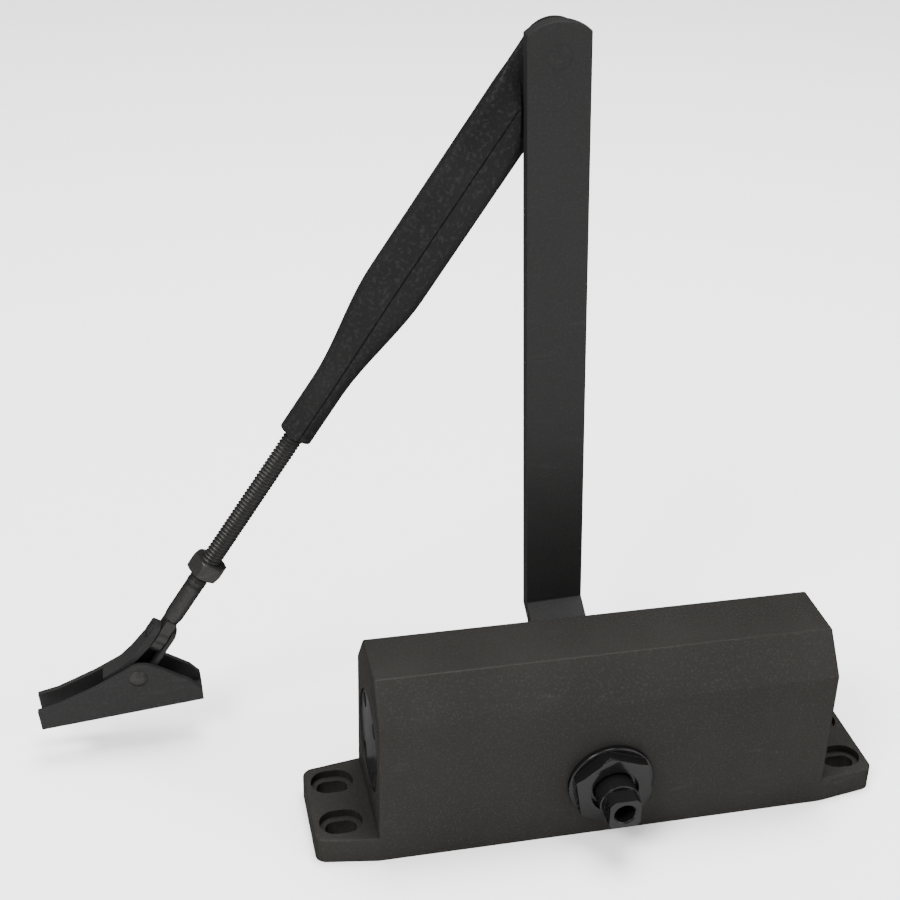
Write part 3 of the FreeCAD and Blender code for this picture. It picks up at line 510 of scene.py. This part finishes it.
def thread_surface(sizes):
    """Round rod with a right-handed thread, at distance s and angle a.

    r = R - d f(s) g(w), where w is the fraction of s / p - a / 2 pi, g goes straight from 0 on the
    crest to 1 in the root, and f fades the thread in over one turn and out over one and a half. The
    shank below it is plain and closes as an ellipse.
    """
    pitch, start, end = sizes.thread_pitch, sizes.thread_start, sizes.thread_end
    flat, shut = sizes.crest_share, sizes.shank_close
    low = PIN_DISTANCE - sizes.shank_gap
    turned = np.arange(start, end, pitch / 10)
    shank = np.linspace(end, low - shut, 6)
    close = np.linspace(0, math.pi / 2, 7)[1:]
    s = np.concatenate([[start], turned, shank, low - shut + shut * np.sin(close)])[:, None]
    shrink = np.concatenate([[0.0], np.ones(len(turned) + len(shank)), np.cos(close)])[:, None]
    a = np.linspace(0, 2 * math.pi, sizes.thread_steps, endpoint=False)[None]
    w = (s / pitch - a / (2 * math.pi)) % 1.0
    ridge = np.clip((np.abs(2 * w - 1) - flat) / (1 - 2 * flat), 0, 1)
    fade = np.clip((s - start) / pitch, 0, 1) * np.clip((end - s) / (1.5 * pitch), 0, 1)
    plain = np.where(s < end, sizes.rod_radius, sizes.shank_radius)
    radius = (plain - sizes.thread_depth * fade * ridge) * shrink
    wide = np.broadcast_to(s, radius.shape)
    return on_rod(wide, radius * np.cos(a), -radius * np.sin(a))


def eye_surface(sizes):
    """Flat eye round the pin, a = 0 pointing down the rod.

    Its outline is R(a) = max(r, t cos a, tongue): a round eye of radius r, a rounded tip that reaches
    t, and a straight-sided tongue that runs up into the shank. The hole is a plain circle.
    """
    a = np.linspace(0, 2 * math.pi, sizes.eye_steps, endpoint=False)
    up = np.maximum(-np.cos(a), 1e-6)
    side = np.maximum(np.abs(np.sin(a)), 1e-6)
    tongue = np.where(np.cos(a) < 0, np.minimum(sizes.tongue_half / side, sizes.tongue_length / up), 0)
    outer = np.maximum(np.maximum(sizes.eye_radius, sizes.eye_tip * np.cos(a)), tongue)
    hole = np.full_like(a, sizes.pin_hole)
    radius = np.stack([hole, outer, outer, hole])
    across = np.array([-1, -1, 1, 1])[:, None] * sizes.eye_half * np.ones_like(radius)
    return on_rod(PIN_DISTANCE + radius * np.cos(a), across, radius * np.sin(a))


# ---- Rivets and the cross pin ----

def headed_pin(centre, axis, ends, shank, heads, steps):
    """Pin turned about an axis, with a ball-shaped head of radius R and height h at each end.

    With b = (R^2 + h^2) / 2 h, a head is r = b sin t at h - b + b cos t beyond its end, for t up
    to asin(R / b); the shank is a plain cylinder between the two ends.
    """
    along, radii = [ends[0], ends[1]], [shank, shank]
    for side, (radius, height) in zip((-1, 1), heads):
        ball = (radius ** 2 + height ** 2) / (2 * height)
        t = np.linspace(math.asin(radius / ball), 0, 9)
        rise = ends[(side + 1) // 2] + side * (height - ball + ball * np.cos(t))
        head = ball * np.sin(t)
        along = [*rise[::-1], *along] if side < 0 else [*along, *rise]
        radii = [*head[::-1], *radii] if side < 0 else [*radii, *head]
    along, radii = np.array(along), np.array(radii)
    # Square to the axis; the sum is never along an axis that is used here
    first = np.cross(axis, ROD_DIRECTION + 0.3 * BACK)
    first /= np.linalg.norm(first)
    second = np.cross(axis, first)
    a = np.linspace(0, 2 * math.pi, steps, endpoint=False)
    ring = np.cos(a)[:, None] * first + np.sin(a)[:, None] * second
    return centre + along[:, None, None] * axis + radii[:, None, None] * ring


# ---- Operators ----

class CLOSER_OT_finish_parts(bpy.types.Operator):
    """Gives every CAD part its finish"""

    bl_idname = "closer.finish_parts"
    bl_label = "Finish parts"

    def execute(self, context):
        for name, obj in frame["nodes"].items():
            dress(obj, finish_of(name))
        return {"FINISHED"}


class CLOSER_OT_round_edges(bpy.types.Operator):
    """Rounds the edges of the cast, pressed and machined parts"""

    bl_idname = "closer.round_edges"
    bl_label = "Round edges"

    def execute(self, context):
        width = context.scene.closer_sizes.edge_round
        for node, body in ROUNDED_PARTS:
            softened_copy(node, body, width)
        return {"FINISHED"}


class CLOSER_OT_threaded_rod(bpy.types.Operator):
    """Makes the threaded rod with its shank and flat eye"""

    bl_idname = "closer.threaded_rod"
    bl_label = "Threaded rod"

    def execute(self, context):
        sizes = context.scene.closer_sizes
        thread = grid_mesh("rod_thread", thread_surface(sizes), close_v=True)
        eye = grid_mesh("rod_eye", eye_surface(sizes), close_u=True, close_v=True)
        for mesh in (thread, eye):
            tidy_faces(mesh)
            piece = add_piece(mesh.name, mesh, "rod", finish_named("rod_steel"))
            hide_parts("threaded_rod")
        # The eye, made last, is the one of the two with sharp edges
        round_by(piece, sizes.edge_round)
        return {"FINISHED"}


class CLOSER_OT_rivets(bpy.types.Operator):
    """Makes the elbow's rivet, the foot's rivet and the yoke's cross pin"""

    bl_idname = "closer.rivets"
    bl_label = "Rivets and pin"

    def execute(self, context):
        sizes = context.scene.closer_sizes
        for node, body, centre, axis, ends, shank, heads in RIVETS:
            points = headed_pin(centre, axis, ends, shank, heads, sizes.pin_steps)
            mesh = grid_mesh(node + "_turned", points, close_v=True)
            tidy_faces(mesh)
            piece = add_piece(mesh.name, mesh, body, finish_of(node))
            round_by(piece, sizes.pin_edge_round)
            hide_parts(node)
        return {"FINISHED"}


class CLOSER_OT_stage(bpy.types.Operator):
    """Makes the floor, the lights and the camera"""

    bl_idname = "closer.stage"
    bl_label = "Stage"

    def execute(self, context):
        make_floor(tuple(context.scene.closer_colours.floor))
        make_lights()
        make_camera()
        return {"FINISHED"}


def make_floor(colour):
    """Flat pale floor that curves up into a backdrop far behind: a level line, an arc, an upright line."""
    half_width, reach, bend, height = 4.0, 3.0, 1.0, 2.5
    angles = np.linspace(0, math.pi / 2, 24)
    y = np.concatenate([[-reach], reach + bend * np.sin(angles), [reach + bend]])
    z = np.concatenate([[0.0], bend * (1 - np.cos(angles)), [height]])
    x = np.array([-half_width, half_width])
    columns = [np.repeat(x[None], len(y), 0), np.repeat(y[:, None], 2, 1), np.repeat(z[:, None], 2, 1)]
    points = np.stack(columns, axis=-1)
    mesh = grid_mesh("floor", points)
    tidy_faces(mesh)
    floor = bpy.data.objects.new("floor", mesh)
    bpy.context.scene.collection.objects.link(floor)
    material = bpy.data.materials.new("floor")
    material.use_nodes = True
    shader = material.node_tree.nodes["Principled BSDF"]
    shader.inputs["Base Color"].default_value = (*colour, 1.0)
    shader.inputs["Roughness"].default_value = 0.9
    shader.inputs["Specular IOR Level"].default_value = 0.1
    dress(floor, material)


def area_light(name, place, target, *, size, power):
    """Soft square light that faces a target, its size in metres and its power in watts."""
    light = bpy.data.lights.new(name, "AREA")
    light.size = size
    light.energy = power
    obj = bpy.data.objects.new(name, light)
    obj.location = place
    obj.rotation_euler = (Vector(target) - Vector(place)).to_track_quat("-Z", "Y").to_euler()
    bpy.context.scene.collection.objects.link(obj)


def make_lights():
    """Key from the upper left, a large fill from the right, a light overhead and a white sky."""
    centre = (-0.04, 0.02, 0.1)
    area_light("key", (-0.9, -0.7, 1.3), centre, size=0.6, power=34.0)
    area_light("fill", (1.2, -1.0, 0.7), centre, size=1.2, power=14.0)
    area_light("top", (0.1, 0.2, 1.5), centre, size=0.8, power=48.0)
    world = bpy.data.worlds.new("sky")
    bpy.context.scene.world = world
    world.use_nodes = True
    background = world.node_tree.nodes["Background"]
    background.inputs["Color"].default_value = (1.0, 1.0, 1.0, 1.0)
    background.inputs["Strength"].default_value = 1.1


def make_camera():
    """Camera above the front and a little to its left, with a slight roll."""
    azimuth, elevation, roll = (math.radians(a) for a in (-12.799, 28.861, 1.301))
    distance = 0.44632
    target = Vector((-0.04885, 0.0, 0.1316))
    back = Vector((math.sin(azimuth) * math.cos(elevation), -math.cos(azimuth) * math.cos(elevation),
                   math.sin(elevation)))
    right = (-back).cross(Vector((0, 0, 1))).normalized()
    up = right.cross(-back)
    rolled_right = right * math.cos(roll) + up * math.sin(roll)
    rolled_up = up * math.cos(roll) - right * math.sin(roll)
    data = bpy.data.cameras.new("camera")
    data.sensor_width = 36.0
    data.lens = 63.34
    data.clip_start = 0.01
    camera = bpy.data.objects.new("camera", data)
    turn = Matrix((rolled_right, rolled_up, back)).transposed().to_4x4()
    camera.matrix_world = Matrix.Translation(target + back * distance) @ turn
    bpy.context.scene.collection.objects.link(camera)
    bpy.context.scene.camera = camera


class CLOSER_PT_panel(bpy.types.Panel):
    """Lists the closer's steps and settings"""

    bl_idname = "CLOSER_PT_panel"
    bl_label = "Door closer"
    bl_space_type = "VIEW_3D"
    bl_region_type = "UI"
    bl_category = "Closer"

    def draw(self, context):
        for step in STEPS:
            self.layout.operator(step.bl_idname)
        for group in (context.scene.closer_sizes, context.scene.closer_colours):
            for name in group.__annotations__:
                self.layout.prop(group, name)


STEPS = (CLOSER_OT_stage, CLOSER_OT_finish_parts, CLOSER_OT_round_edges, CLOSER_OT_threaded_rod,
         CLOSER_OT_rivets)
CLASSES = (CloserSizes, CloserColours, *STEPS, CLOSER_PT_panel)


def register():
    """Registers the add-on's classes and its two groups of settings."""
    for item in CLASSES:
        bpy.utils.register_class(item)
    bpy.types.Scene.closer_sizes = PointerProperty(type=CloserSizes)
    bpy.types.Scene.closer_colours = PointerProperty(type=CloserColours)


def unregister():
    """Takes the add-on's classes and settings away again."""
    del bpy.types.Scene.closer_colours
    del bpy.types.Scene.closer_sizes
    for item in reversed(CLASSES):
        bpy.utils.unregister_class(item)


def main():
    """Registers the add-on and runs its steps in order."""
    register()
    for step in STEPS:
        group, name = step.bl_idname.split(".")
        getattr(getattr(bpy.ops, group), name)()


if __name__ == "__main__":
    main()
